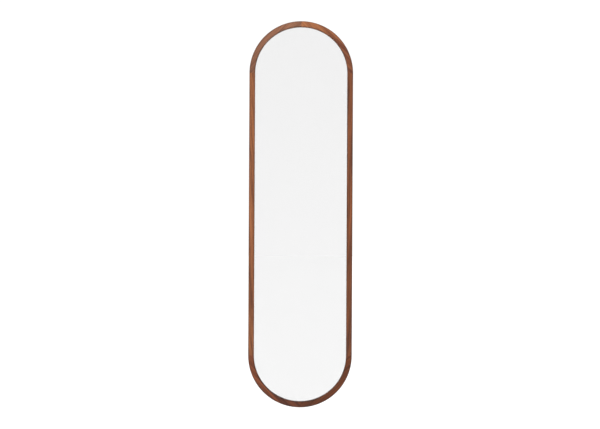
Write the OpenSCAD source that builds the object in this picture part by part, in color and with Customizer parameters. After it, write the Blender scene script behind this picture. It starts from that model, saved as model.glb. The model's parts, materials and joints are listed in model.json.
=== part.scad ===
// Full-length mirror with a pill-shaped solid walnut frame, hung on an interlocking wall cleat.
// X runs to the right as seen from the front, +Y from the glass towards the wall, +Z up.
// The wall is the plane y = 0, and the origin is midway between the two outer wall screws.

/* [Frame] */
// Overall width of the frame
frame_w = 457; // [451:1:500]
// Overall height of the frame
frame_h = 1702; // [1640:1:1760]
// Width of the wood seen from the front
face_w = 25; // [24.5:0.5:28]
// Depth of the wood from front to back
frame_depth = 38; // [38:0.5:44]
// Radius of the two front edges of the wood
front_edge_r = 2.5; // [0.5:0.5:4]
// Thickness of the wood lip in front of the glass
lip_t = 10; // [9:0.5:10]
// How far the lip reaches over the rabbet that holds the glass
lip_reach = 8; // [7:0.5:8]
// Thickness of the outer wall of wood beside the back ledge
wall_t = 7; // [6:0.5:7]
// Gap between the frame and the wall, filled by the bumpers
wall_gap = 2; // [2:0.5:3]

/* [Glass and back] */
// Thickness of the glass
glass_t = 4; // [3:0.5:4]
// Thickness of the silver coat with its safety film
silver_t = 0.2; // [0.1:0.1:0.3]
// Thickness of the rubber strip between the lip and the glass
gasket_t = 0.8; // [0.5:0.1:1]
// Thickness of the foam ring between the glass and the back panel
foam_t = 2; // [1:0.5:2]
// Thickness of the back panel
panel_t = 5; // [4:0.5:5]
// Gap between the glass edge and the wood, filled by blocks
glass_gap = 2; // [1.5:0.5:2]

/* [Joints in the wood] */
// Length of a loose tenon
tenon_len = 40; // [30:1:50]
// Width of a loose tenon
tenon_w = 12; // [10:0.5:12]
// Thickness of a loose tenon
tenon_t = 6; // [5:0.5:7]

/* [Braces] */
// Height of a cross brace
brace_h = 60; // [54:1:70]

/* [Cleats] */
// Length of each cleat
cleat_len = 423; // [415:1:427]
// Thickness of the cleats' metal
cleat_t = 2; // [2:0.1:2.2]
// Spacing of the outer pair of wall screws
outer_screws = 406.4; // [390:0.1:408]
// Spacing of the inner pair of wall screws
inner_screws = 203.2; // [180:0.1:300]
// Radius of the wall screw holes
wall_hole_r = 2.6; // [2:0.1:3]

/* [Turn buttons] */
// Reach of a button from its pivot to its nose
button_nose = 15; // [13:0.5:16]
// Width of a button
button_w = 7.5; // [7:0.5:8]
// Spacing of the buttons along the rails
button_pitch = 300; // [240:5:310]

/* [Hidden] */
$fn = 96;
eps = 0.01;

// Clearances
seat = 0.05; // between parts that rest on or turn on each other
slip = 0.15; // beside the hooks of the cleats
tenon_fit = 0.1; // around a loose tenon

// Outline
end_r = frame_w / 2;
top_z = 330;
middle_z = top_z - frame_h / 2;
spring_up = frame_h / 2 - end_r; // from the middle to each spring line
rail_len = 2 * spring_up;

// Layers, from the front of the wood to the wall
front_y = -wall_gap - frame_depth;
glass_y = front_y + lip_t + gasket_t;
silver_y = glass_y + glass_t;
foam_y = silver_y + silver_t;
panel_y = foam_y + foam_t;
ledge_y = panel_y + panel_t;
rabbet_u = face_w - lip_reach; // from the outer face to the rabbet
glass_u = rabbet_u + glass_gap;
panel_u = rabbet_u + 1;
back_edge_r = 1;

// Soft layers and blocks round the edge of the glass
gasket_w = face_w - glass_u - 1;
foam_w = 12;
foam_u = glass_u + 0.5;
block_t = glass_gap - 2 * seat;
setting_angles = [245, 295]; // where the two setting blocks carry the glass
setting_span = 8;
spacer_angles = [65, 115];
spacer_span = 6;
spacer_len = 25;
spacer_from_middle = 400;

// Loose tenons
tenon_u = rabbet_u / 2 + 0.5; // middle of a tenon, from the outer face
tenon_depth = 12; // and from the front

// Interlocking cleats, as heights above the wall screws
flange_drop = 12;
hook_gap = cleat_t + 2 * slip;
web_top = 11;
hook_top = 22;
pivot_y = -(hook_gap + cleat_t + slip) / 2; // the line that one cleat turns about
pivot_z = (web_top + hook_top + seat) / 2; // to become the other
brace_back_y = 2 * pivot_y;
cleat_screw_x = [-180, -90, 0, 90, 180];

// Screws: head radius, head height, shank radius, length in the wood
cleat_screw = [3.6, 1.7, 1.75, 12];
button_screw = [3.2, 2, 1.6, 12];
brace_screw = [3.4, 0, 1.75, 25];
head_edge = 0.8; // bevel round a pan head
tip_len = 3;
recess_depth = 1.1;
recess_w = 0.9;

// Turn buttons
button_t = 1.5;
button_u = wall_t + 5.5; // pivot, from the outer face
button_y = ledge_y + seat; // the face of a button against the ledge
button_head_y = button_y + button_t + seat;
button_r = end_r - button_u;
side_z = [for (i = [1.5, 0.5, -0.5, -1.5]) middle_z + i * button_pitch];

// Braces
brace_rise = 38; // of the upper brace above the wall screws
brace_z = [brace_rise, 2 * middle_z - brace_rise];
brace_end_gap = 0.5;
brace_len = frame_w - 2 * (wall_t + brace_end_gap);
brace_screw_in = 4.8; // from the end of the brace
brace_screw_x = brace_len / 2 - brace_screw_in;
brace_screw_dz = 20;

// Wall bumpers, one in the middle of each quarter arc
bumper_r = min(3, wall_t / 2 - 0.2);

// Where each button turns and which way its nose points: x, z, angle
SIDE_BUTTONS = [for (side = [-1, 1]) for (z = side_z) [side * button_r, z, side < 0 ? 0 : 180]];
ARCH_BUTTONS = [for (a = [135, 45, 225, 315])
    [button_r * cos(a), middle_z + spring_up * sign(sin(a)) + button_r * sin(a), a + 180]];
BUTTONS = concat(SIDE_BUTTONS, ARCH_BUTTONS);
BUTTON_NAMES = concat(
    [for (side = ["left", "right"]) for (i = [1:4]) str(side, "_turn_button_", i)],
    ["top_left_turn_button", "top_right_turn_button"],
    ["bottom_left_turn_button", "bottom_right_turn_button"]);

// ---- Shared shapes ----

// Stands a flat outline upright in X and Z, from back_y forwards by thick
module upright(back_y, thick) {
    translate([0, back_y, 0]) rotate([90, 0, 0]) linear_extrude(thick) children();
}

// Pill outline whose edge lies u inside the outer face of the wood
module pill(u) {
    translate([0, middle_z]) {
        square([frame_w - 2 * u, rail_len], center = true);
        for (end = [-1, 1]) translate([0, end * spring_up]) circle(end_r - u);
    }
}

// Ring of the pill outline, from u inwards by w
module pill_ring(u, w) {
    difference() {
        pill(u);
        pill(u + w);
    }
}

// What is cut off a square corner at the origin to round it to radius r
module corner_waste(r) {
    difference() {
        translate([-eps, -eps]) square(r + eps);
        translate([r, r]) circle(r);
    }
}

// Cross-section of the wood: x inwards from the outer face, y backwards from the front
module wood_profile() {
    difference() {
        square([face_w, frame_depth]);
        translate([rabbet_u, lip_t]) square([face_w, frame_depth]);
        translate([wall_t, ledge_y - front_y]) square([face_w, frame_depth]);
        corner_waste(front_edge_r);
        translate([face_w, 0]) mirror([1, 0]) corner_waste(front_edge_r);
        translate([0, frame_depth]) mirror([0, 1]) corner_waste(back_edge_r);
    }
}

// A screw that points along +Z, with the underside of a pan head, or the flush top
// of a countersunk one, at z = 0
module screw_shape(screw, grow = 0) {
    head_r = screw[0] + grow;
    shank_r = screw[2] + grow;
    length = screw[3] + grow;
    rotate_extrude() polygon(screw[1] > 0
        ? [[0, -screw[1]], [head_r - head_edge, -screw[1]], [head_r, head_edge - screw[1]], [head_r, 0],
           [shank_r, 0], [shank_r, length - tip_len], [0, length]]
        : [[0, 0], [head_r, 0], [shank_r, head_r - shank_r], [shank_r, length - tip_len], [0, length]]);
}

// The same screw with its cross recess
module screw(kind) {
    difference() {
        screw_shape(kind);
        for (turn = [0, 90]) rotate(turn) translate([0, 0, -kind[1] + recess_depth / 2 - eps])
            cube([1.1 * kind[0], recess_w, recess_depth], center = true);
    }
}

// Turns a shape that points along +Z so that it points forwards, into the wood
module forwards(x, y, z) {
    translate([x, y, z]) rotate([90, 0, 0]) children();
}

// ---- Places of the repeated fasteners ----

module at_buttons() {
    for (b = BUTTONS) forwards(b[0], button_head_y, b[1]) children();
}

module at_brace_screws(zs) {
    for (x = [-brace_screw_x, brace_screw_x]) for (z = zs) for (dz = [-brace_screw_dz, brace_screw_dz])
        forwards(x, brace_back_y, z + dz) children();
}

module at_cleat_screws() {
    for (x = cleat_screw_x) forwards(x, brace_back_y + cleat_t, 2 * pivot_z) children();
}

// ---- Wood ----

// The six loose tenons: one across each spring line and one at each end of the frame
module tenon_set(grow) {
    module tenon(x, z, angle) {
        w = tenon_w + 2 * grow;
        t = tenon_t + 2 * grow;
        translate([x, front_y + tenon_depth, z]) rotate([0, angle, 0])
            linear_extrude(tenon_len + 4 * grow, center = true) {
                square([w - t, t], center = true);
                for (side = [-1, 1]) translate([side * (w - t) / 2, 0]) circle(t / 2);
            }
    }
    for (end = [-1, 1]) {
        tenon(0, middle_z + end * (frame_h / 2 - tenon_u), 90);
        for (side = [-1, 1]) tenon(side * (end_r - tenon_u), middle_z + end * spring_up, 0);
    }
}

// Cuts the mortises and the pilot holes from a piece of the frame
module with_holes() {
    difference() {
        children();
        tenon_set(tenon_fit);
        at_buttons() screw_shape(button_screw, seat);
        at_brace_screws(brace_z) screw_shape(brace_screw, seat);
    }
}

module rail() {
    with_holes() translate([-end_r, front_y, middle_z - spring_up]) linear_extrude(rail_len) wood_profile();
}

// Quarter arc; start is the angle at which it begins, counted from +X towards +Z
module quarter_arc(start) {
    with_holes() translate([0, 0, middle_z + spring_up * sign(sin(start + 45))])
        rotate([90, -start, 0]) rotate_extrude(angle = 90)
            translate([end_r, -front_y]) rotate(180) wood_profile();
}

module left_rail() { color("#a5714e") rail(); }
module right_rail() { color("#7f513a") mirror([1, 0, 0]) rail(); }
module top_left_arc() { color("#96603f") quarter_arc(90); }
module top_right_arc() { color("#a8734d") quarter_arc(0); }
module bottom_left_arc() { color("#7a4a34") quarter_arc(180); }
module bottom_right_arc() { color("#744532") quarter_arc(270); }
module loose_tenons() { color("#d9b88c") tenon_set(0); }

module brace(z) {
    difference() {
        upright(brace_back_y, brace_back_y - ledge_y)
            translate([0, z]) square([brace_len, brace_h], center = true);
        at_brace_screws([z]) screw_shape(brace_screw, seat);
        at_cleat_screws() screw_shape(cleat_screw, seat);
    }
}

module upper_brace() { color("#c9a77d") brace(brace_z[0]); }
module lower_brace() { color("#c9a77d") brace(brace_z[1]); }

// ---- Glass and back ----

module lip_gasket() {
    color("#2e2a28") upright(glass_y, gasket_t) pill_ring(glass_u, gasket_w);
}

module mirror_glass() {
    color("#dfe9e8", 0.5) upright(silver_y, glass_t) pill(glass_u);
}

module silver_backing() {
    color("#c8cccf") upright(foam_y, silver_t) pill(glass_u);
}

module foam_ring() {
    color("#4a4a4a") upright(panel_y, foam_t) pill_ring(foam_u, foam_w);
}

module back_panel() {
    color("#8a6a4d") upright(ledge_y, panel_t) pill(panel_u);
}

// Blocks in the gap round the glass, each centred on an angle of an end arch
module arch_blocks(angles, span) {
    for (a = angles) translate([0, silver_y, middle_z + spring_up * sign(sin(a))])
        rotate([90, span / 2 - a, 0]) rotate_extrude(angle = span)
            translate([end_r - glass_u + seat, 0]) square([block_t, glass_t]);
}

module setting_blocks() {
    color("#303236") arch_blocks(setting_angles, setting_span);
}

module edge_spacers() {
    color("#5b5f63") {
        arch_blocks(spacer_angles, spacer_span);
        for (side = [-1, 1]) for (up = [-1, 1])
            translate([side * (end_r - glass_u + glass_gap / 2), silver_y - glass_t / 2,
                       middle_z + up * spacer_from_middle])
                cube([block_t, glass_t, spacer_len], center = true);
    }
}

// ---- Metal ----

module turn_button(b) {
    button_end_r = button_w / 2;
    color("#c7c9cc") translate([b[0], button_head_y - seat, b[1]]) rotate([90, -b[2], 0])
        linear_extrude(button_t) difference() {
            union() {
                translate([0, -button_end_r]) square([button_nose - button_end_r, button_w]);
                circle(button_end_r);
                translate([button_nose - button_end_r, 0]) circle(button_end_r);
            }
            circle(button_screw[2] + seat);
        }
}

module turn_button_screws() { color("#b4b7ba") at_buttons() screw(button_screw); }
module brace_screws() { color("#b59b5a") at_brace_screws(brace_z) screw(brace_screw); }
module mirror_cleat_screws() { color("#b4b7ba") at_cleat_screws() screw(cleat_screw); }

// Hooked bar with a row of holes through its flange at z = 0
module cleat(hole_xs, hole_r) {
    difference() {
        rotate([90, 0, 90]) linear_extrude(cleat_len, center = true) polygon([
            [0, -flange_drop], [0, web_top], [-hook_gap, web_top], [-hook_gap, hook_top],
            [-hook_gap - cleat_t, hook_top], [-hook_gap - cleat_t, web_top - cleat_t],
            [-cleat_t, web_top - cleat_t], [-cleat_t, -flange_drop]]);
        for (x = hole_xs) forwards(x, eps, 0) cylinder(r = hole_r, h = cleat_t + 2 * eps);
    }
}

module wall_cleat() {
    color("#b9bdc1") cleat([for (side = [-0.5, 0.5]) for (s = [outer_screws, inner_screws]) side * s],
        wall_hole_r);
}

module mirror_cleat() {
    color("#b9bdc1") translate([0, 2 * pivot_y, 2 * pivot_z]) rotate([180, 0, 0])
        cleat(cleat_screw_x, cleat_screw[2] + seat);
}

// ---- Wall bumpers ----

module wall_bumpers() {
    bumper_ring_r = end_r - wall_t / 2;
    color("#1f1f20") for (a = [45, 135, 225, 315])
        forwards(bumper_ring_r * cos(a), 0, middle_z + spring_up * sign(sin(a)) + bumper_ring_r * sin(a))
            cylinder(r = bumper_r, h = wall_gap);
}

left_rail();
right_rail();
top_left_arc();
top_right_arc();
bottom_left_arc();
bottom_right_arc();
loose_tenons();
lip_gasket();
mirror_glass();
silver_backing();
setting_blocks();
edge_spacers();
foam_ring();
back_panel();
upper_brace();
lower_brace();
brace_screws();
mirror_cleat();
mirror_cleat_screws();
wall_bumpers();
turn_button_screws();
wall_cleat();
for (i = [0 : len(BUTTONS) - 1])
    turn_button(BUTTONS[i]);
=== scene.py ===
"""Full-length mirror in a pill-shaped walnut frame, with the hardware behind it.

Every length is in metres, in the frame's own axes: X right as seen from the front,
+Y from the glass towards the wall, +Z up.
"""

import json
import math

import bmesh
import bpy
from mathutils import Matrix, Vector


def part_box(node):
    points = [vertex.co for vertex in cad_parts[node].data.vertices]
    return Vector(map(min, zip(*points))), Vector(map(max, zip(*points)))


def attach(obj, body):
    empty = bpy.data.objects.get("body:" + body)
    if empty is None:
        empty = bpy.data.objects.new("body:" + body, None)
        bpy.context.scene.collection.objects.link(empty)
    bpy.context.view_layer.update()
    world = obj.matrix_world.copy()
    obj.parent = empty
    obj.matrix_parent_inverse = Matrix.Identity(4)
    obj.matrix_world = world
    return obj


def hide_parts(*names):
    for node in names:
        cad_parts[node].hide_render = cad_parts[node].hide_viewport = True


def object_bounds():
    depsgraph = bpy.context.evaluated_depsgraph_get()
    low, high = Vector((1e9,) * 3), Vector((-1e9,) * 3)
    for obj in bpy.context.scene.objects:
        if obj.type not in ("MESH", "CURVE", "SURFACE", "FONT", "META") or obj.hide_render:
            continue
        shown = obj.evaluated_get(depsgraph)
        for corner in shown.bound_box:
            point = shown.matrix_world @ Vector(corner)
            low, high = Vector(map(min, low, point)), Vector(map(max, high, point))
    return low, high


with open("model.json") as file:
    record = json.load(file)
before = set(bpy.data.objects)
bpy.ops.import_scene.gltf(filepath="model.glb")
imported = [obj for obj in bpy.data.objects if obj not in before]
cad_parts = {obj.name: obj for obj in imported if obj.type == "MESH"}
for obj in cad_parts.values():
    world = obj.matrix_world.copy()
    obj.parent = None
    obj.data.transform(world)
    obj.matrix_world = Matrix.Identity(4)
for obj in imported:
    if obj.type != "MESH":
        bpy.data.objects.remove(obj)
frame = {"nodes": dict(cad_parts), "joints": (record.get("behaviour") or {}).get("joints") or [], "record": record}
cad_low, cad_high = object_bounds()

MM = 0.001
SEAT = 0.05 * MM  # clearance between parts that rest on each other
SLIVER = 0.002 * MM  # an edge shorter than this is closed up after a cut
WELD = 0.001 * MM  # points of a CAD mesh that are closer than this are one

# The outline: two rails between spring lines, closed by half circles
END_R = cad_high.x
MIDDLE_Z = (cad_low.z + cad_high.z) / 2
RAIL_LOW, RAIL_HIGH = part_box("left_rail")
SPRING = {-1: RAIL_LOW.z, 1: RAIL_HIGH.z}

# The wood's section, as distances inwards from the outer face and as planes of y
FACE_W = RAIL_HIGH.x - RAIL_LOW.x
RABBET_U = END_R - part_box("edge_spacers")[1].x - SEAT
WALL_U = END_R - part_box("upper_brace")[1].x - 0.5 * MM
FRONT_Y, WOOD_BACK_Y = RAIL_LOW.y, RAIL_HIGH.y
LIP_BACK_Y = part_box("lip_gasket")[0].y
LEDGE_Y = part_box("back_panel")[1].y

FRONT_EDGE_R = 2.5 * MM

# How finely curves are divided: each quarter arc, each rail, and one turn of a round part
ARC_STEPS, RAIL_STEPS, TURN_STEPS = 40, 26, 32

# Soft strips round the glass, and the gap that keeps the silver clear of the glass
GASKET_W, FOAM_W = 5 * MM, 12 * MM
COAT_GAP = 0.02 * MM

# Screws: height of the head (0 is countersunk) and radius of the shank
PAN_SCREW = (2 * MM, 1.6 * MM)
CLEAT_SCREW = (1.7 * MM, 1.75 * MM)
FLUSH_SCREW = (0, 1.75 * MM)
TIP_LEN = 3 * MM
RECESS_DEPTH = 1.1 * MM
NECK_LEN = 3 * MM  # from the head to the thread
THREAD_PITCH = 1.5 * MM
THREAD_ROOT = 0.7  # radius between the ridges, as a share of the shank's

CLEAT_T = 2 * MM
CLEAT_HOLE_R = 1.8 * MM
BUTTON_HOLE_R = 1.67 * MM
BUTTON_SUFFIXES = ("button", "_1", "_2", "_3", "_4")

# Light and camera
FLOOR_GAP, FLOOR_R = 0.25, 30.0
FLOOR_FAR, FLOOR_NEAR_LIGHT, FADE_FROM = 0.772, 0.24, 6.0  # its tone in front, and painted light that makes it paler towards the mirror
BEHIND_PAINTED_LIGHT, BEHIND_Y = 0.13, 0.9  # and how much paler it is this far behind: painted light that washes out the mirror's shadow there
FRONT_LEVEL, FRONT_FADE = 0.988, -0.212  # of the surroundings, at eye level and with height
SIDE_LEVEL, SIDE_Z, BACK_LEVEL = 0.88, 0.35, 1.06
# Each lamp: which way it shines, its strength and its width in degrees
LAMPS = {
    "ceiling": ((0, 0, -1), 0.55, 50),
    "key": ((0.6, 0.65, -0.45), 0.85, 30),
    "back_fill": ((-0.5, -0.7, -0.5), 0.45, 30),
}
CAMERA_DISTANCE = 6.0
VIEW_WIDTHS = 5.783  # width of the picture, in widths of the mirror
AIM_LEFT, AIM_DOWN = 2.64 * MM, 1.1 * MM  # how far the camera stands off the middle of the mirror
ROLL = math.radians(0.27)

# Wood: how much painted shade darkens the rounded front edges, and how dark each yearly ring is across its width
EDGE_SHADE = 0.34
LATE_WOOD = ((0.0, 0.3), (0.08, 0.0), (0.55, 0.15), (0.93, 1.0), (1.0, 0.3))
# Streaks of colour: width in rings, length in metres, seed
BROAD_STREAK, FINE_STREAK = (4.5, 0.5, 0.0), (1.4, 0.18, 7.0)
# Fibres, flecks and pores: how many to the metre along X, Y and the grain
FIBRES, FLECKS, PORES = (2600, 2600, 60), (900, 900, 40), (3900, 3900, 120)
# How much each of them adds to the tone
BROAD_TONE, FINE_TONE, RING_TONE, FIBRE_TONE, FLECK_TONE = 0.50, 0.46, 0.26, 0.5, 0.4


# ---------------------------------------------------------------- mesh helpers


def rounded(corners, steps=5):
    """Closed outline of 2-D points from (x, y, radius) corners."""
    outline = []
    for i, (x, y, radius) in enumerate(corners):
        here = Vector((x, y))
        if radius == 0:
            outline.append(here)
            continue
        before = (Vector(corners[i - 1][:2]) - here).normalized()
        after = (Vector(corners[(i + 1) % len(corners)][:2]) - here).normalized()
        half = before.angle(after) / 2
        centre = here + (before + after).normalized() * radius / math.sin(half)
        start = here + before * radius / math.tan(half) - centre
        end = here + after * radius / math.tan(half) - centre
        turn = math.pi - 2 * half
        for k in range(steps + 1):
            part = turn * k / steps
            outline.append(centre + (start * math.sin(turn - part) + end * math.sin(part)) / math.sin(turn))
    return outline


def shrunk(outline, by):
    """The outline with every side moved inwards by the same distance."""
    count = len(outline)
    area = sum(outline[i - 1].cross(outline[i]) for i in range(count))
    inward = 1 if area > 0 else -1
    normals = []
    for i in range(count):
        side = (outline[(i + 1) % count] - outline[i]).normalized()
        normals.append(Vector((-side.y, side.x)) * inward)
    moved = []
    for i, point in enumerate(outline):
        both = normals[i - 1] + normals[i]
        moved.append(point + both * by / (1 + normals[i - 1].dot(normals[i])))
    return moved


def new_piece(name, verts, faces, sharp_deg=35):
    """A smooth-shaded mesh object whose edges sharper than sharp_deg stay sharp."""
    mesh = bpy.data.meshes.new(name)
    mesh.from_pydata([tuple(v) for v in verts], [], faces)
    piece = bpy.data.objects.new(name, mesh)
    bpy.context.scene.collection.objects.link(piece)
    return finished(piece, sharp_deg)


def finished(piece, sharp_deg=35):
    """Points every face outwards and sets which edges are sharp."""
    mesh = bmesh.new()
    mesh.from_mesh(piece.data)
    bmesh.ops.recalc_face_normals(mesh, faces=mesh.faces)
    mesh.to_mesh(piece.data)
    mesh.free()
    piece.data.polygons.foreach_set("use_smooth", [True] * len(piece.data.polygons))
    piece.data.set_sharp_from_angle(angle=math.radians(sharp_deg))
    return piece


def skin(rings, closed=False):
    """Faces of quads between rings of equal length, with the two ends capped unless closed."""
    size, count = len(rings[0]), len(rings)
    verts = [v for ring in rings for v in ring]
    faces = []
    for r in range(count if closed else count - 1):
        here, there = r * size, (r + 1) % count * size
        for i in range(size):
            j = (i + 1) % size
            faces.append((here + i, here + j, there + j, there + i))
    if not closed:
        faces += [tuple(range(size)), tuple(range(size * (count - 1), size * count))]
    return verts, faces


def joined(name, parts):
    """One piece out of several, which are removed."""
    mesh = bmesh.new()
    for part in parts:
        mesh.from_mesh(part.data)
        bpy.data.objects.remove(part)
    data = bpy.data.meshes.new(name)
    mesh.to_mesh(data)
    mesh.free()
    piece = bpy.data.objects.new(name, data)
    bpy.context.scene.collection.objects.link(piece)
    return finished(piece)


def cut(piece, cutter):
    """Cuts a hole of the cutter's shape in the piece, for good. The cutter stays."""
    step = piece.modifiers.new("cut", "BOOLEAN")
    step.operation, step.solver, step.object = "DIFFERENCE", "EXACT", cutter
    graph = bpy.context.evaluated_depsgraph_get()
    result = bpy.data.meshes.new_from_object(piece.evaluated_get(graph))
    piece.modifiers.clear()
    piece.data = result
    mesh = bmesh.new()
    mesh.from_mesh(result)
    bmesh.ops.dissolve_degenerate(mesh, edges=mesh.edges, dist=SLIVER)
    mesh.to_mesh(result)
    mesh.free()
    return finished(piece)


def grown_copy(node, by):
    """A welded copy of a CAD node with its surface moved outwards, as a cutter."""
    mesh = bmesh.new()
    mesh.from_mesh(frame["nodes"][node].data)
    bmesh.ops.remove_doubles(mesh, verts=mesh.verts, dist=WELD)
    bmesh.ops.recalc_face_normals(mesh, faces=mesh.faces)
    for vert, move in [(v, v.normal * by) for v in mesh.verts]:
        vert.co += move
    data = bpy.data.meshes.new(node)
    mesh.to_mesh(data)
    mesh.free()
    piece = bpy.data.objects.new(f"{node}_copy", data)
    bpy.context.scene.collection.objects.link(piece)
    return piece


def solids(node):
    """Lowest and highest corner of each separate solid of a CAD node."""
    mesh = bmesh.new()
    mesh.from_mesh(frame["nodes"][node].data)
    bmesh.ops.remove_doubles(mesh, verts=mesh.verts, dist=WELD)
    left, boxes = set(mesh.verts), []
    while left:
        group, edge = set(), [left.pop()]
        while edge:
            vert = edge.pop()
            group.add(vert)
            near = {e.other_vert(vert) for e in vert.link_edges} & left
            left -= near
            edge += near
        corners = [(min(v.co[i] for v in group), max(v.co[i] for v in group)) for i in range(3)]
        boxes.append(tuple(Vector(c[k] for c in corners) for k in (0, 1)))
    mesh.free()
    return sorted(boxes, key=lambda box: tuple(round(x, 4) for x in box[0]))


# ---------------------------------------------------------------- along the outline


def station(x, z, outward, u, y):
    """The point at depth y that lies u inside the outer face, where the outline's centre is (x, z)."""
    return Vector((x + outward[0] * (END_R - u), y, z + outward[1] * (END_R - u)))


def arc_places(start_deg, span_deg=90, steps=ARC_STEPS):
    """Places on an end arch, by default a quarter of a turn. The angle is counted from +X towards +Z."""
    end = 1 if math.sin(math.radians(start_deg + span_deg / 2)) > 0 else -1
    angles = [math.radians(start_deg + span_deg * k / steps) for k in range(steps + 1)]
    return [(0, SPRING[end], (math.cos(a), math.sin(a))) for a in angles]


def rail_places(side):
    """Places up one of the two straight sides."""
    rise = SPRING[1] - SPRING[-1]
    return [(0, SPRING[-1] + rise * k / RAIL_STEPS, (side, 0)) for k in range(RAIL_STEPS + 1)]


def pill_places():
    """Places all round the outline, once."""
    return arc_places(0, 180, 2 * ARC_STEPS) + arc_places(180, 180, 2 * ARC_STEPS)


def sweep(name, outline, places, closed=False, bevel=0.0):
    """Carries an outline of (u, y) points along places. A bevel eases the two end faces."""
    rings = [[station(*place, u, y) for u, y in outline] for place in places]
    if bevel:
        small = shrunk(outline, bevel)
        first, last = ([station(*places[k], u, y) for u, y in small] for k in (0, -1))
        ease = [(rings[1][0] - rings[0][0]).normalized(), (rings[-2][0] - rings[-1][0]).normalized()]
        rings[0] = [point + ease[0] * bevel for point in rings[0]]
        rings[-1] = [point + ease[1] * bevel for point in rings[-1]]
        rings = [first, *rings, last]
    return new_piece(name, *skin(rings, closed))


def pill_plate(name, u, front, back, arris):
    """A flat pill-shaped plate whose edge lies u inside the outer face, with ground edges."""
    rims = [(u + arris, front), (u, front + arris), (u, back - arris), (u + arris, back)]
    rings = [[station(*place, *rim) for place in pill_places()] for rim in rims]
    return new_piece(name, *skin(rings), sharp_deg=25)


# ---------------------------------------------------------------- turned shapes


def lathe(name, profile, x, z, radius_at=None):
    """Turns (y, radius) points about the line along Y through (x, z). The end radii are zero."""
    def ring(y, radius):
        angles = [2 * math.pi * k / TURN_STEPS for k in range(TURN_STEPS)]
        radii = [radius_at(y, a, radius) if radius_at else radius for a in angles]
        return [Vector((x + r * math.cos(a), y, z + r * math.sin(a))) for a, r in zip(angles, radii)]

    tip, *middle, end = profile
    verts, faces = skin([ring(*point) for point in middle])
    faces = faces[:-2]
    first, last = len(verts), len(verts) + 1
    verts += [Vector((x, tip[0], z)), Vector((x, end[0], z))]
    base = TURN_STEPS * (len(middle) - 1)
    for i in range(TURN_STEPS):
        j = (i + 1) % TURN_STEPS
        faces += [(first, i, j), (last, base + j, base + i)]
    return new_piece(name, verts, faces)


# ---------------------------------------------------------------- material helpers


def add(tree, kind, inputs=None, **settings):
    """Adds a shader node. Inputs are numbers, colours or other nodes' sockets."""
    made = tree.nodes.new("ShaderNode" + kind)
    for key, value in settings.items():
        setattr(made, key, value)
    for key, value in (inputs or {}).items():
        if isinstance(value, bpy.types.NodeSocket):
            tree.links.new(value, made.inputs[key])
        else:
            made.inputs[key].default_value = value
    return made


def maths(tree, operation, a, b=0.0, c=0.0, clamp=False):
    """The result of a sum on numbers or sockets."""
    return add(tree, "Math", {0: a, 1: b, 2: c}, operation=operation, use_clamp=clamp).outputs[0]


def noise(tree, where, scale, detail=3.0, roughness=0.55):
    """Value noise from 0 to 1."""
    inputs = {"Vector": where, "Scale": scale, "Detail": detail, "Roughness": roughness}
    return add(tree, "TexNoise", inputs).outputs["Fac"]


def stretched(tree, where, factors):
    """Coordinates multiplied axis by axis."""
    return add(tree, "VectorMath", {0: where, 1: factors}, operation="MULTIPLY").outputs[0]


def spread(tree, value, low, high, to_low=0.0, to_high=1.0):
    """Takes the values from low to high to the range to_low to to_high, clamped."""
    names = ("Value", "From Min", "From Max", "To Min", "To Max")
    return add(tree, "MapRange", dict(zip(names, (value, low, high, to_low, to_high)))).outputs[0]


def ramp(tree, value, stops):
    """Greys at places from 0 to 1."""
    made = add(tree, "ValToRGB", {0: value})
    elements = made.color_ramp.elements
    while len(elements) < len(stops):
        elements.new(0.5)
    for element, (place, grey) in zip(elements, stops):
        element.position = place
        element.color = (grey, grey, grey, 1)
    return made.outputs[0]


def blend(tree, share, a, b):
    """Mixes colour b over colour a."""
    made = add(tree, "Mix", data_type="RGBA")
    for index, value in ((0, share), (6, a), (7, b)):
        if isinstance(value, bpy.types.NodeSocket):
            tree.links.new(value, made.inputs[index])
        elif index:
            made.inputs[index].default_value = (*value[:3], 1)
        else:
            made.inputs[index].default_value = value
    return made.outputs[2]


def linear(code):
    """Linear colour from an sRGB hex code."""
    parts = [int(code[i:i + 2], 16) / 255 for i in (1, 3, 5)]
    return tuple(c / 12.92 if c <= 0.04045 else ((c + 0.055) / 1.055) ** 2.4 for c in parts)


def shade(name, **values):
    """A new material's tree, its Principled shader and object coordinates."""
    material = bpy.data.materials.new(name)
    material.use_nodes = True
    tree = material.node_tree
    shader = next(n for n in tree.nodes if n.type == "BSDF_PRINCIPLED")
    for key, value in values.items():
        shader.inputs[key.replace("_", " ")].default_value = value
    where = add(tree, "TexCoord").outputs["Object"]
    return material, tree, shader, where


def relief(tree, shader, height, depth, strength):
    """Lets a height from 0 to 1 raise the surface by depth."""
    bump = add(tree, "Bump", {"Height": height, "Distance": depth, "Strength": strength})
    tree.links.new(bump.outputs[0], shader.inputs["Normal"])


# ---------------------------------------------------------------- materials


def along_grain(tree, where, grain_deg, offset):
    """Coordinates whose Z runs along the grain, moved to another part of the tree by the offset."""
    return add(tree, "Mapping", {"Vector": where, "Rotation": (0, math.radians(grain_deg), 0),
                                 "Location": (offset, 0, 3 * offset)}).outputs[0]


def ring_count(tree, grain, pith, ring):
    """How many yearly rings lie between a point and the pith. The rings bend slowly and vary in width."""
    place = add(tree, "SeparateXYZ", {0: grain}).outputs
    beside = add(tree, "CombineXYZ", {0: maths(tree, "SUBTRACT", place[0], pith[0]),
                                      1: maths(tree, "SUBTRACT", place[1], pith[1])}).outputs[0]
    radius = add(tree, "VectorMath", {0: beside}, operation="LENGTH").outputs["Value"]
    bend = noise(tree, stretched(tree, grain, (9, 9, 1.8)), 1.0, 2.0)
    ripple = noise(tree, stretched(tree, grain, (130, 130, 9)), 1.0, 3.0)
    shift = maths(tree, "MULTIPLY_ADD", bend, 0.045, maths(tree, "MULTIPLY", ripple, 1.6 * MM))
    return maths(tree, "DIVIDE", maths(tree, "ADD", radius, shift), ring)


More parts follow.
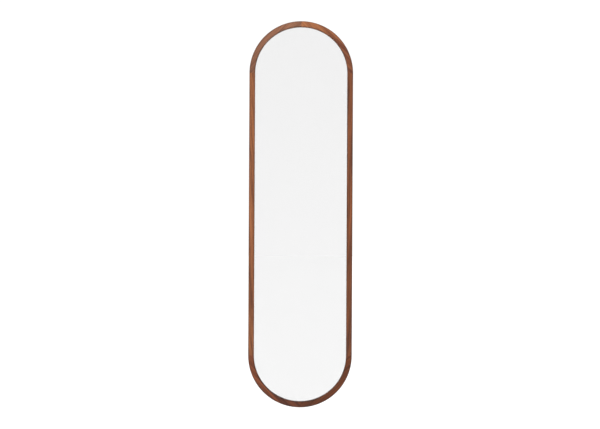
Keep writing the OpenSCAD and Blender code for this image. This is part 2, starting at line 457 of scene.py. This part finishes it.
def streak(tree, grain, rings, width, length, seed):
    """Streaks of colour that follow the rings: width in rings, length in metres."""
    along = add(tree, "SeparateXYZ", {0: grain}).outputs[2]
    across = maths(tree, "DIVIDE", rings, width)
    along = maths(tree, "DIVIDE", along, length)
    field = add(tree, "CombineXYZ", {0: across, 1: along, 2: seed}).outputs[0]
    return spread(tree, noise(tree, field, 1.0, 3.0), 0.33, 0.67)


def wood(name, light, dark, grain_deg=0.0, pith=(0.09, 0.05), offset=0.0, ring=3.4 * MM, pores=1.0,
         streaks=1.0, roughness=0.46, coat=0.05, edges=None, fade=(0.0, 0.0, 0.0)):
    """Solid wood whose grain runs along Z, turned by grain_deg in the plane of the glass.

    pith is where the middle of the tree lies beside the board, so that the rings curve as they would in it.
    offset picks the stretch of the tree that the board is cut from, and ring is the width of a yearly ring.
    fade says how the tone darkens across the piece: a tone at the origin, and what each metre of X and Z adds.
    """
    gloss_of = {"Coat_Weight": coat, "Coat_Roughness": 0.3, "Specular_IOR_Level": 0.3}
    material, tree, shader, where = shade(name, **gloss_of)
    grain = along_grain(tree, where, grain_deg, offset)
    rings = ring_count(tree, grain, pith, ring)
    late = ramp(tree, maths(tree, "FRACT", rings), LATE_WOOD)
    fibre = noise(tree, stretched(tree, grain, FIBRES), 1.0, 2.0)
    fleck = noise(tree, stretched(tree, grain, FLECKS), 1.0, 3.0)
    pore = spread(tree, noise(tree, stretched(tree, grain, PORES), 1.0, 1.0), 0.60, 0.70)
    broad = streak(tree, grain, rings, *BROAD_STREAK)
    fine = streak(tree, grain, rings, *FINE_STREAK)

    drift = add(tree, "VectorMath", {0: where, 1: (fade[1], 0, fade[2])}, operation="DOT_PRODUCT")
    tone = maths(tree, "ADD", drift.outputs["Value"], fade[0])
    tone = maths(tree, "MULTIPLY_ADD", broad, BROAD_TONE * streaks, tone)
    tone = maths(tree, "MULTIPLY_ADD", fine, FINE_TONE * streaks, tone)
    tone = maths(tree, "MULTIPLY_ADD", late, RING_TONE, tone)
    tone = maths(tree, "MULTIPLY_ADD", maths(tree, "SUBTRACT", fibre, 0.5), FIBRE_TONE, tone)
    tone = maths(tree, "MULTIPLY_ADD", maths(tree, "SUBTRACT", fleck, 0.5), FLECK_TONE, tone, clamp=True)
    colour = blend(tree, tone, light, dark)
    colour = blend(tree, maths(tree, "MULTIPLY", pore, 0.6 * pores), colour, [c * 0.28 for c in dark])
    # Painted shade: the wood is darkened towards black along the rounded front edges
    if edges:
        colour = blend(tree, maths(tree, "MULTIPLY", edges(tree, where), EDGE_SHADE), colour, (0, 0, 0))
    tree.links.new(colour, shader.inputs["Base Color"])

    gloss = maths(tree, "MULTIPLY_ADD", fleck, 0.12, roughness - 0.06)
    gloss = maths(tree, "MULTIPLY_ADD", pore, 0.16, gloss)
    tree.links.new(gloss, shader.inputs["Roughness"])
    raised = maths(tree, "MULTIPLY", fleck, 0.4)
    height = maths(tree, "SUBTRACT", raised, maths(tree, "MULTIPLY", pore, pores))
    relief(tree, shader, height, 0.05 * MM, 0.8)
    return material


def painted_edge_shade(tree, where):
    """Painted shade: 1 along the two rounded front edges of the frame, falling to 0 a few millimetres away."""
    place = add(tree, "SeparateXYZ", {0: where}).outputs
    height = maths(tree, "ABSOLUTE", maths(tree, "SUBTRACT", place[2], MIDDLE_Z))
    past = maths(tree, "SUBTRACT", height, SPRING[1] - MIDDLE_Z)
    radial = add(tree, "CombineXYZ", {0: place[0], 1: maths(tree, "MAXIMUM", past, 0.0)}).outputs[0]
    radius = add(tree, "VectorMath", {0: radial}, operation="LENGTH").outputs["Value"]
    middle = maths(tree, "ABSOLUTE", maths(tree, "SUBTRACT", radius, END_R - FACE_W / 2))
    corner = add(tree, "CombineXYZ", {0: maths(tree, "SUBTRACT", FACE_W / 2, middle),
                                      1: maths(tree, "SUBTRACT", place[1], FRONT_Y)}).outputs[0]
    away = add(tree, "VectorMath", {0: corner}, operation="LENGTH").outputs["Value"]
    return spread(tree, away, 1.5 * MM, 5.5 * MM, 1.0, 0.0)


def metal(name, colour, roughness, lines, spots=0.0):
    """Bare or plated metal with fine lines along the direction whose number is lowest."""
    material, tree, shader, where = shade(name, Metallic=1.0)
    drawn = noise(tree, stretched(tree, where, lines), 1.0, 3.0)
    cloud = noise(tree, where, 90.0, 2.0)
    tint = blend(tree, maths(tree, "MULTIPLY", cloud, 0.35 + spots), colour, [c * 0.72 for c in colour])
    tint = blend(tree, maths(tree, "MULTIPLY", drawn, 0.25), tint, [c * 0.6 for c in colour])
    tree.links.new(tint, shader.inputs["Base Color"])
    dull = maths(tree, "MULTIPLY_ADD", cloud, 0.1, roughness)
    tree.links.new(maths(tree, "MULTIPLY_ADD", drawn, 0.16, dull), shader.inputs["Roughness"])
    relief(tree, shader, drawn, 0.01 * MM, 0.6)
    return material


def rubber(name, colour, grain=900.0):
    """Matt rubber with a trace of dust."""
    material, tree, shader, where = shade(name, Specular_IOR_Level=0.35)
    fine = noise(tree, where, grain, 2.0)
    dust = maths(tree, "MULTIPLY", noise(tree, where, 60.0, 3.0), 0.5)
    tree.links.new(blend(tree, dust, colour, [c * 1.6 + 0.01 for c in colour]), shader.inputs["Base Color"])
    tree.links.new(maths(tree, "MULTIPLY_ADD", fine, 0.15, 0.72), shader.inputs["Roughness"])
    relief(tree, shader, fine, 0.04 * MM, 0.7)
    return material


def foam(name, colour):
    """Closed-cell foam: small round cells, with painted shade in their hollows."""
    material, tree, shader, where = shade(name, Specular_IOR_Level=0.25, Roughness=0.9)
    cells = add(tree, "TexVoronoi", {"Vector": where, "Scale": 1800.0}).outputs["Distance"]
    cloudy = blend(tree, noise(tree, where, 120.0, 2.0), colour, [c * 1.3 for c in colour])
    # Painted shade: the hollow middle of each cell is darker than its rim
    wall = maths(tree, "MULTIPLY", cells, 0.8, clamp=True)
    tree.links.new(blend(tree, wall, [c * 0.6 for c in colour], cloudy), shader.inputs["Base Color"])
    relief(tree, shader, cells, 0.12 * MM, 0.8)
    return material


def fibreboard(name):
    """Hardboard: fine pressed fibres with a few longer dark and pale ones."""
    material, tree, shader, where = shade(name, Specular_IOR_Level=0.3)
    felt = noise(tree, where, 1400.0, 4.0, 0.7)
    wander = add(tree, "TexNoise", {"Vector": where, "Scale": 60.0}).outputs["Color"]
    wander = stretched(tree, wander, (12 * MM,) * 3)
    bent = add(tree, "VectorMath", {0: where, 1: wander}, operation="ADD").outputs[0]
    dark_hairs = noise(tree, stretched(tree, bent, (220, 220, 2400)), 1.0, 2.0)
    pale_hairs = noise(tree, stretched(tree, bent, (2400, 300, 260)), 1.0, 2.0)
    cloud = noise(tree, where, 5.0, 3.0)
    colour = blend(tree, spread(tree, felt, 0.3, 0.7), linear("#93704c"), linear("#775536"))
    for value, low, high, most, tint in ((dark_hairs, 0.6, 0.75, 0.45, "#4e3622"),
                                         (pale_hairs, 0.6, 0.75, 0.30, "#b8966c"),
                                         (cloud, 0.3, 0.7, 0.22, "#6b4b30")):
        colour = blend(tree, spread(tree, value, low, high, 0.0, most), colour, linear(tint))
    tree.links.new(colour, shader.inputs["Base Color"])
    tree.links.new(maths(tree, "MULTIPLY_ADD", felt, 0.2, 0.55), shader.inputs["Roughness"])
    relief(tree, shader, felt, 0.04 * MM, 0.6)
    return material


def silver(name):
    """The silvered back of the glass, very slightly uneven as real plate is."""
    material, tree, shader, where = shade(name, Metallic=1.0)
    wave = noise(tree, where, 3.0, 1.0)
    colour = blend(tree, wave, linear("#f8f6f8"), linear("#f7f5f7"))
    tree.links.new(colour, shader.inputs["Base Color"])
    tree.links.new(maths(tree, "MULTIPLY", wave, 0.006), shader.inputs["Roughness"])
    return material


def clear_glass(name):
    """Clear low-iron float glass."""
    material, tree, shader, where = shade(name, Transmission_Weight=1.0, IOR=1.52)
    shader.inputs["Base Color"].default_value = (*linear("#fefffe"), 1)
    haze = maths(tree, "MULTIPLY", noise(tree, where, 40.0, 2.0), 0.004)
    tree.links.new(haze, shader.inputs["Roughness"])
    return material


# ---------------------------------------------------------------- the wood frame


def wood_outline():
    """Section of the frame: two rounded front edges, a rabbet for the glass and a ledge behind."""
    edge = 0.5 * MM
    return rounded([
        (0, FRONT_Y, FRONT_EDGE_R), (FACE_W, FRONT_Y, FRONT_EDGE_R), (FACE_W, LIP_BACK_Y, 0.8 * edge),
        (RABBET_U, LIP_BACK_Y, 0), (RABBET_U, LEDGE_Y, edge), (WALL_U, LEDGE_Y, 0),
        (WALL_U, WOOD_BACK_Y, edge), (0, WOOD_BACK_Y, 2 * edge),
    ])


# Each piece of the frame: where it runs, its light and dark tones, how far its grain turns, its pith,
# which stretch of the board it is cut from, and how its tone darkens across it
WALNUT = {
    "left_rail": (rail_places(-1), "#af6c3f", "#441b0f", 4, (-0.16, 0.06), 0.39, (-0.14, 0, -0.18)),
    "right_rail": (rail_places(1), "#99562d", "#35180d", -3, (0.15, 0.09), 0.37, (-0.06, 0, -0.08)),
    "top_left_arc": (arc_places(90), "#a87153", "#472616", -45, (-0.05, 0.07), 0.32, (-0.06, 0, 0)),
    "top_right_arc": (arc_places(0), "#bb7648", "#582513", 45, (0.06, 0.05), 0.78, (-0.31, 2.5, 0)),
    "bottom_left_arc": (arc_places(180), "#8f4b29", "#150504", 45, (0.04, 0.08), 0.26, (0.1, 1.2, 0)),
    "bottom_right_arc": (arc_places(270), "#89451b", "#120401", -45, (-0.06, 0.06), 0.25, (0, 0, 0)),
}


def frame_segment(node, cutter):
    """One piece of the frame with its mortises and screw holes, and its wood."""
    places, light, dark, grain_deg, pith, offset, fade = WALNUT[node]
    piece = cut(sweep(f"walnut_{node}", wood_outline(), places, bevel=0.15 * MM), cutter)
    walnut = wood(f"walnut_{node}", linear(light), linear(dark), grain_deg, pith=pith, offset=offset,
                  edges=painted_edge_shade, fade=fade)
    return piece, walnut


# ---------------------------------------------------------------- glass, soft layers and back


def layer(node, arris, gap=0.0):
    """A pill-shaped plate in the place of a CAD node, with a gap in front of it."""
    low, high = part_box(node)
    return pill_plate(f"{node}_plate", END_R - high.x, low.y + gap, high.y, arris)


def soft_ring(node, width, ease):
    """A strip laid in a ring round the outline, with rounded edges."""
    low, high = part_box(node)
    u = END_R - high.x
    corners = [(u, low.y, ease), (u + width, low.y, ease), (u + width, high.y, ease), (u, high.y, ease)]
    return sweep(f"{node}_strip", rounded(corners, 3), pill_places(), closed=True)


# ---------------------------------------------------------------- screws


def screw_profile(low, high, head_h, shank_r, grow=0.0):
    """Half section of a screw, as (y, radius, corner radius). A head_h of 0 is countersunk."""
    head_r = (high.x - low.x) / 2 + grow
    shank_r += grow
    back, tip = high.y + grow, low.y - grow
    if head_h:
        head = [(back, head_r, 1.2 * MM), (back - head_h, head_r, 0.1 * MM), (back - head_h, shank_r, 0)]
    else:
        head = [(back, head_r, 0.25 * MM), (back - head_r + shank_r, shank_r, 0)]
    return [(back, 0, 0), *head, (tip + TIP_LEN, shank_r, 0), (tip, 0, 0)]


def screw(name, low, high, head_h, shank_r):
    """A wood screw whose thread starts a little below the head."""
    neck = high.y - head_h - NECK_LEN
    *head, cone, tip = rounded(screw_profile(low, high, head_h, shank_r), 4)
    count = math.ceil((neck - cone.x) / (THREAD_PITCH / 5))
    shank = [Vector((neck + (cone.x - neck) * k / count, shank_r)) for k in range(count + 1)]
    point = [cone.lerp(tip, k / 8) for k in range(1, 8)]

    def threaded(y, angle, radius):
        if y > neck:
            return radius
        turn = (y / THREAD_PITCH + angle / (2 * math.pi)) % 1
        ridge = max(0.0, 1 - abs(turn - 0.5) / 0.28)
        rise = min(1.0, (neck - y) / THREAD_PITCH)
        return radius * (THREAD_ROOT + (1 - THREAD_ROOT) * ridge * rise)

    profile = [tuple(p) for p in (*head, *shank, *point, tip)]
    x, z = (low.x + high.x) / 2, (low.z + high.z) / 2
    return lathe(name, profile, x, z, threaded)


def cross(low, high):
    """The cross recess of one screw, as a cutter that narrows downwards."""
    x, z = (low.x + high.x) / 2, (low.z + high.z) / 2
    long = 0.33 * (high.x - low.x)

    def plus(y, arm, width):
        corner = [(width, width), (width, arm), (-width, arm)]
        points = []
        for _ in range(4):
            points += corner
            corner = [(-b, a) for a, b in corner]
        return [Vector((x + a, y, z + b)) for a, b in points]

    tops = ((high.y + 0.2 * MM, long, 0.42 * MM), (high.y - RECESS_DEPTH, long * 0.4, 0.28 * MM))
    return new_piece("cross", *skin([plus(*top) for top in tops]))


def screws(node, head_h, shank_r):
    """All the screws of one CAD node, with their cross recesses."""
    places = solids(node)
    group = joined(f"{node}_group", [screw(node, *place, head_h, shank_r) for place in places])
    crosses = joined("crosses", [cross(*place) for place in places])
    cut(group, crosses)
    bpy.data.objects.remove(crosses)
    return group


def screw_holes(node, head_h, shank_r):
    """Cutters for the holes that one node's screws sit in."""
    parts = []
    for low, high in solids(node):
        profile = [tuple(p) for p in rounded(screw_profile(low, high, head_h, shank_r, SEAT), 1)]
        parts.append(lathe("hole", profile, (low.x + high.x) / 2, (low.z + high.z) / 2))
    return parts


# ---------------------------------------------------------------- bars: braces and cleats


def bar(name, outline, x0, x1, bevel):
    """A bar along X from an outline of (y, z) points, with eased ends."""
    small = shrunk(outline, bevel)
    ends = ((x0, small), (x0 + bevel, outline), (x1 - bevel, outline), (x1, small))
    return new_piece(name, *skin([[Vector((x, *p)) for p in shape] for x, shape in ends]))


def drill(x, z, front, back, radius, flare):
    """A round cutter through a plate, wider at both faces by the flare."""
    over = 0.1 * MM
    profile = [(back + over, 0), (back + over, radius + flare + over), (back - flare, radius),
               (front + flare, radius), (front - over, radius + flare + over), (front - over, 0)]
    return lathe("drill", profile, x, z)


def brace(node, holes):
    """A birch bar with eased edges and its screw holes."""
    low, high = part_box(node)
    ease = 1.2 * MM
    corners = [(low.y, low.z), (high.y, low.z), (high.y, high.z), (low.y, high.z)]
    outline = rounded([(y, z, ease) for y, z in corners], 4)
    return cut(bar(f"{node}_bar", outline, low.x, high.x, ease * 0.7), holes)


def cleat_outline():
    """Section of the wall cleat: flange on the wall, web, and a hook that stands off it."""
    low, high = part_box("wall_cleat")
    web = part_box("mirror_cleat")[0].z - SEAT
    hook = low.y + CLEAT_T
    edge, fillet = 0.35 * MM, 0.2 * MM
    return [
        (high.y, low.z, edge), (high.y, web, edge), (hook, web, fillet), (hook, high.z, edge),
        (low.y, high.z, edge), (low.y, web - CLEAT_T, edge),
        (-CLEAT_T, web - CLEAT_T, fillet), (-CLEAT_T, low.z, edge),
    ]


def wall_cleat():
    """The bar on the wall, with the record's four screw holes."""
    low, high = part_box("wall_cleat")
    piece = bar("wall_cleat_bar", rounded(cleat_outline(), 3), low.x, high.x, 0.3 * MM)
    patterns = [m["dims"] for m in frame["record"]["mounts"] if m["kind"] == "bolt_pattern"]
    drills = [drill(side * dims["spacing_x_mm"] / 2 * MM, 0, -CLEAT_T, 0, dims["hole_r_mm"] * MM, 0.3 * MM)
              for dims in patterns for side in (-1, 1)]
    return drilled(piece, drills)


def mirror_cleat():
    """The same section turned half round, so that the two hooks hang in each other."""
    low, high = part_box("mirror_cleat")
    wall_low, wall_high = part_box("wall_cleat")
    y_sum, z_sum = low.y + wall_high.y, high.z + wall_low.z
    outline = [(y_sum - y, z_sum - z, radius) for y, z, radius in cleat_outline()]
    piece = bar("mirror_cleat_bar", rounded(outline, 3), low.x, high.x, 0.3 * MM)
    drills = [drill((a.x + b.x) / 2, (a.z + b.z) / 2, low.y, low.y + CLEAT_T, CLEAT_HOLE_R, 0.15 * MM)
              for a, b in solids("mirror_cleat_screws")]
    return drilled(piece, drills)


def drilled(piece, drills):
    """The piece with holes where the cutters are, which are removed."""
    cutter = joined("drills", drills)
    cut(piece, cutter)
    bpy.data.objects.remove(cutter)
    return piece


# ---------------------------------------------------------------- turn buttons and bumpers


def turn_button(node, pivot):
    """A pressed plate with rounded ends, turned to the side its nose points to."""
    low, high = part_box(node)
    like_low, like_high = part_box("left_turn_button_1")
    half_w = (like_high.z - like_low.z) / 2
    nose = like_high.x - like_low.x - half_w
    aim = (low + high) / 2 - pivot
    along, beside = Vector((aim.x, aim.z)).normalized(), Vector((-aim.z, aim.x)).normalized()
    corner = half_w * 0.99
    corners = [(-half_w, -half_w), (nose, -half_w), (nose, half_w), (-half_w, half_w)]
    outline = rounded([(a, b, corner) for a, b in corners], 10)
    edge = 0.35 * MM
    small = shrunk(outline, edge)

    def ring(points, y):
        return [Vector((pivot.x + a * along.x + b * beside.x, y, pivot.z + a * along.y + b * beside.y))
                for a, b in points]

    rings = [ring(small, low.y), ring(outline, low.y + edge)]
    rings += [ring(outline, high.y - edge), ring(small, high.y)]
    plate = new_piece(f"{node}_plate", *skin(rings))
    return drilled(plate, [drill(pivot.x, pivot.z, low.y, high.y, BUTTON_HOLE_R, 0.2 * MM)])


def bumpers():
    """Soft round pads with a domed face towards the wall."""
    parts = []
    for low, high in solids("wall_bumpers"):
        radius = (high.x - low.x) / 2
        corners = [(low.y, 0, 0), (low.y, radius, 0.2 * MM), (high.y, radius, 0.9 * MM), (high.y, 0, 0)]
        profile = [tuple(p) for p in rounded(corners, 5)]
        parts.append(lathe("bumper", profile, (low.x + high.x) / 2, (low.z + high.z) / 2))
    return joined("wall_bumper_pads", parts)


# ---------------------------------------------------------------- hand over each piece

BODY_OF = {node: body for body, nodes in frame["record"]["behaviour"]["bodies"].items() for node in nodes}


def stand_for(node, piece, material):
    """Gives a new piece its material and the body of the CAD node that it replaces, and hides that node."""
    piece.data.materials.clear()
    piece.data.materials.append(material)
    flat = piece.modifiers.new("flat_faces", "WEIGHTED_NORMAL")
    flat.keep_sharp = True
    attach(piece, BODY_OF[node])
    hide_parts(node)
    return piece


def repaint(node, material):
    """Gives a CAD node that is right as it is a better material."""
    for slot in frame["nodes"][node].material_slots:
        slot.material = material


def build_wood_frame():
    """The six walnut pieces, and a better material for the tenons inside them."""
    cutter = joined("joinery", [
        grown_copy("loose_tenons", 0.1 * MM), *screw_holes("turn_button_screws", *PAN_SCREW),
        *screw_holes("brace_screws", *FLUSH_SCREW),
    ])
    for node in WALNUT:
        stand_for(node, *frame_segment(node, cutter))
    bpy.data.objects.remove(cutter)
    repaint("loose_tenons", wood("beech", linear("#d8b78b"), linear("#b98f62"), ring=2.2 * MM, pores=0.3))


def build_glass_and_back():
    """What lies in the rabbet: strip, glass, silver, foam and back panel."""
    arris = 0.5 * MM
    stand_for("mirror_glass", layer("mirror_glass", arris), clear_glass("float_glass"))
    stand_for("silver_backing", layer("silver_backing", COAT_GAP, COAT_GAP), silver("silver_coat"))
    stand_for("back_panel", layer("back_panel", arris), fibreboard("fibreboard"))
    gasket = soft_ring("lip_gasket", GASKET_W, 0.25 * MM)
    stand_for("lip_gasket", gasket, rubber("gasket_rubber", linear("#2b2a29")))
    strip = soft_ring("foam_ring", FOAM_W, 0.6 * MM)
    stand_for("foam_ring", strip, foam("foam", linear("#4a4a4a")))
    blocks = rubber("block_rubber", linear("#3b3e42"), 1500.0)
    repaint("setting_blocks", blocks)
    repaint("edge_spacers", blocks)


def build_back_hardware():
    """Braces, cleats, screws, bumpers and turn buttons."""
    holes = joined("brace_holes", [
        *screw_holes("brace_screws", *FLUSH_SCREW),
        *screw_holes("mirror_cleat_screws", *CLEAT_SCREW),
    ])
    birch = wood("birch", linear("#d6b78c"), linear("#b9925f"), 90, pith=(0.02, 0.12), offset=0.21,
                 ring=2.6 * MM, pores=0.35, streaks=0.6, roughness=0.62, coat=0.0)
    for node in ("upper_brace", "lower_brace"):
        stand_for(node, brace(node, holes), birch)
    bpy.data.objects.remove(holes)
    aluminium = metal("drawn_aluminium", (0.56, 0.57, 0.59), 0.38, (12, 1400, 1400))
    stand_for("wall_cleat", wall_cleat(), aluminium)
    stand_for("mirror_cleat", mirror_cleat(), aluminium)
    zinc = metal("zinc_plate", (0.66, 0.67, 0.69), 0.26, (500, 500, 500), spots=0.3)
    stand_for("mirror_cleat_screws", screws("mirror_cleat_screws", *CLEAT_SCREW), zinc)
    stand_for("turn_button_screws", screws("turn_button_screws", *PAN_SCREW), zinc)
    yellow = metal("yellow_passivate", (0.58, 0.42, 0.17), 0.28, (500, 500, 500), spots=0.5)
    stand_for("brace_screws", screws("brace_screws", *FLUSH_SCREW), yellow)
    stand_for("wall_bumpers", bumpers(), rubber("bumper_rubber", linear("#1f1f20")))
    nickel = metal("nickel_plate", (0.50, 0.485, 0.455), 0.27, (400, 400, 60), spots=0.3)
    for joint in frame["joints"]:
        node = joint["child"]
        if node.endswith(BUTTON_SUFFIXES):
            stand_for(node, turn_button(node, Vector(joint["pos_m"])), nickel)


# ---------------------------------------------------------------- stage, light and camera


def floor():
    """A wide pale floor below the hanging mirror, with painted light that makes it paler towards the mirror and
    behind it.
    """
    steps = 96
    angles = [2 * math.pi * k / steps for k in range(steps)]
    rim = [Vector((FLOOR_R * math.cos(a), FLOOR_R * math.sin(a), cad_low.z - FLOOR_GAP)) for a in angles]
    disc = new_piece("floor", rim, [tuple(range(steps))])
    material, tree, shader, where = shade("floor", Specular_IOR_Level=0.0, Roughness=0.9)
    depth = add(tree, "SeparateXYZ", {0: where}).outputs[1]
    # Painted light: the floor is paler towards the mirror, and paler still behind it, where it washes out the
    # mirror's shadow
    ahead = maths(tree, "SUBTRACT", FADE_FROM, maths(tree, "MINIMUM", depth, 0.0))
    tone = maths(tree, "ADD", maths(tree, "DIVIDE", FLOOR_NEAR_LIGHT, ahead), FLOOR_FAR)
    tone = maths(tree, "ADD", tone, spread(tree, depth, 0.0, BEHIND_Y, 0.0, BEHIND_PAINTED_LIGHT))
    tone = maths(tree, "MULTIPLY_ADD", noise(tree, where, 0.8, 2.0), -0.004, tone)
    tree.links.new(tone, shader.inputs["Base Color"])
    disc.data.materials.append(material)


def surroundings():
    """Studio white in front and behind, and greyer high at the sides, where it models round edges."""
    bpy.context.scene.view_settings.view_transform = "Standard"
    world = bpy.data.worlds.new("studio")
    bpy.context.scene.world = world
    world.use_nodes = True
    tree = world.node_tree
    tree.nodes.clear()
    ways = add(tree, "SeparateXYZ", {0: add(tree, "TexCoord").outputs["Generated"]}).outputs
    front = maths(tree, "MULTIPLY_ADD", ways[2], FRONT_FADE, FRONT_LEVEL)
    level = spread(tree, ways[2], 0.0, SIDE_Z, 1.0, SIDE_LEVEL)
    for start, end, share in ((-0.3, -0.93, front), (0.3, 0.93, BACK_LEVEL)):
        part = spread(tree, ways[1], start, end)
        rest = maths(tree, "MULTIPLY", maths(tree, "SUBTRACT", 1.0, part), level)
        level = maths(tree, "ADD", rest, maths(tree, "MULTIPLY", part, share))
    lamp = add(tree, "Background", {"Color": (1, 1, 1, 1), "Strength": level})
    out = add(tree, "OutputWorld")
    tree.links.new(lamp.outputs[0], out.inputs[0])


def sun(name, aim, strength, spread_deg):
    """A far, wide light, which lights the floor evenly all over."""
    data = bpy.data.lights.new(name, "SUN")
    data.energy, data.angle = strength, math.radians(spread_deg)
    lamp = bpy.data.objects.new(name, data)
    bpy.context.scene.collection.objects.link(lamp)
    lamp.rotation_euler = Vector(aim).to_track_quat("-Z", "Y").to_euler()


def camera():
    """Square on to the middle of the mirror, from far off."""
    data = bpy.data.cameras.new("camera")
    view = bpy.data.objects.new("camera", data)
    bpy.context.scene.collection.objects.link(view)
    shown = VIEW_WIDTHS * 2 * END_R
    data.lens = data.sensor_width * CAMERA_DISTANCE / shown
    view.location = (-AIM_LEFT, FRONT_Y - CAMERA_DISTANCE, MIDDLE_Z - AIM_DOWN)
    view.rotation_euler = (Matrix.Rotation(math.pi / 2, 3, "X") @ Matrix.Rotation(ROLL, 3, "Z")).to_euler()
    bpy.context.scene.camera = view


build_wood_frame()
build_glass_and_back()
build_back_hardware()
floor()
surroundings()
for lamp_name, lamp_values in LAMPS.items():
    sun(lamp_name, *lamp_values)
camera()
